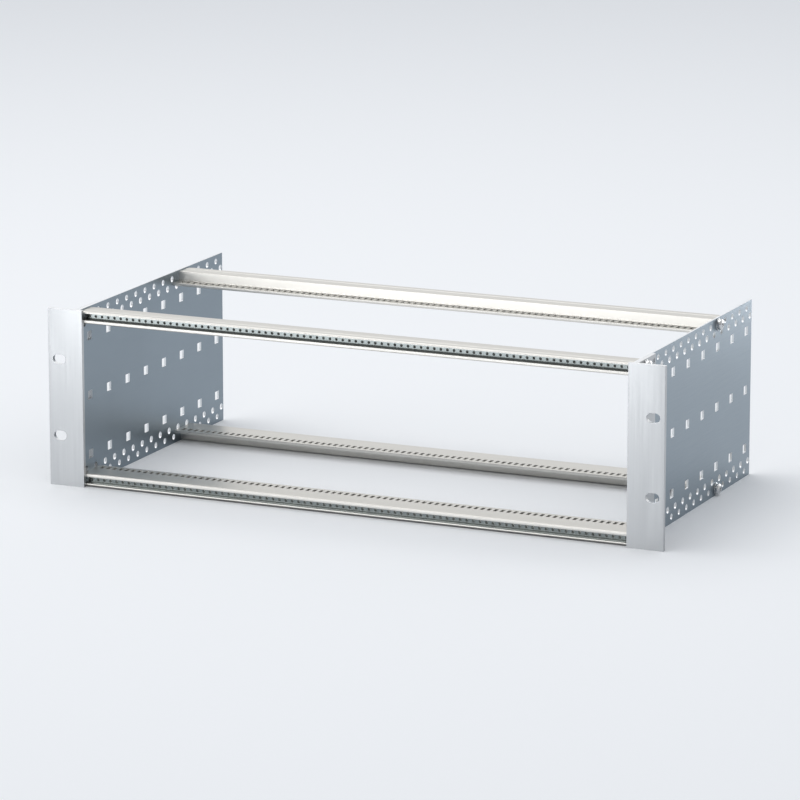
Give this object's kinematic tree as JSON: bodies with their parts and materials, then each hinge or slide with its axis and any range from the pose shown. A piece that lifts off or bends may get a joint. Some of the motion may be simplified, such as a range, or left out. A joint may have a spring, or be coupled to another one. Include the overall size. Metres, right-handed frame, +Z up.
{
  "type": "subrack card cage",
  "caption": "Open 19-inch card cage: punched side plates joined by slotted rails, with rack flanges at the front and threaded strips for front panels.",
  "frame": {"origin": "centre of the four rack slots, on the front face of the rack flanges", "axes": "+X to the right along the rails, the front faces -Y, +Z up"},
  "size_m": [0.4826, 0.238, 0.1324],
  "materials": {
    "side_plate": "clear passivated sheet with faint straight grain along its length",
    "rack_flange": "clear anodised, with faint vertical brushing on the face",
    "rail": "clear anodised extrusion, satin, with fine die lines along its length",
    "threaded_strip": "zinc-plated steel, satin",
    "rail_screw": "zinc-plated, bright",
    "rail_washer": "zinc-plated, bright"
  },
  "bodies": {
    "root": {"side_plate_left": "side_plate", "rack_flange_left": "rack_flange", "side_plate_right": "side_plate", "rack_flange_right": "rack_flange", "rail_front_top": "rail", "rail_front_bottom": "rail", "rail_rear_top": "rail", "rail_rear_bottom": "rail", "threaded_strip_top": "threaded_strip", "threaded_strip_bottom": "threaded_strip", "rail_screw_front_top_left": "rail_screw", "rail_washer_front_top_left": "rail_washer", "rail_screw_front_top_right": "rail_screw", "rail_washer_front_top_right": "rail_washer", "rail_screw_front_bottom_left": "rail_screw", "rail_washer_front_bottom_left": "rail_washer", "rail_screw_front_bottom_right": "rail_screw", "rail_washer_front_bottom_right": "rail_washer", "rail_screw_rear_top_left": "rail_screw", "rail_washer_rear_top_left": "rail_washer", "rail_screw_rear_top_right": "rail_screw", "rail_washer_rear_top_right": "rail_washer", "rail_screw_rear_bottom_left": "rail_screw", "rail_washer_rear_bottom_left": "rail_washer", "rail_screw_rear_bottom_right": "rail_screw", "rail_washer_rear_bottom_right": "rail_washer"}
  },
  "joints": []
}
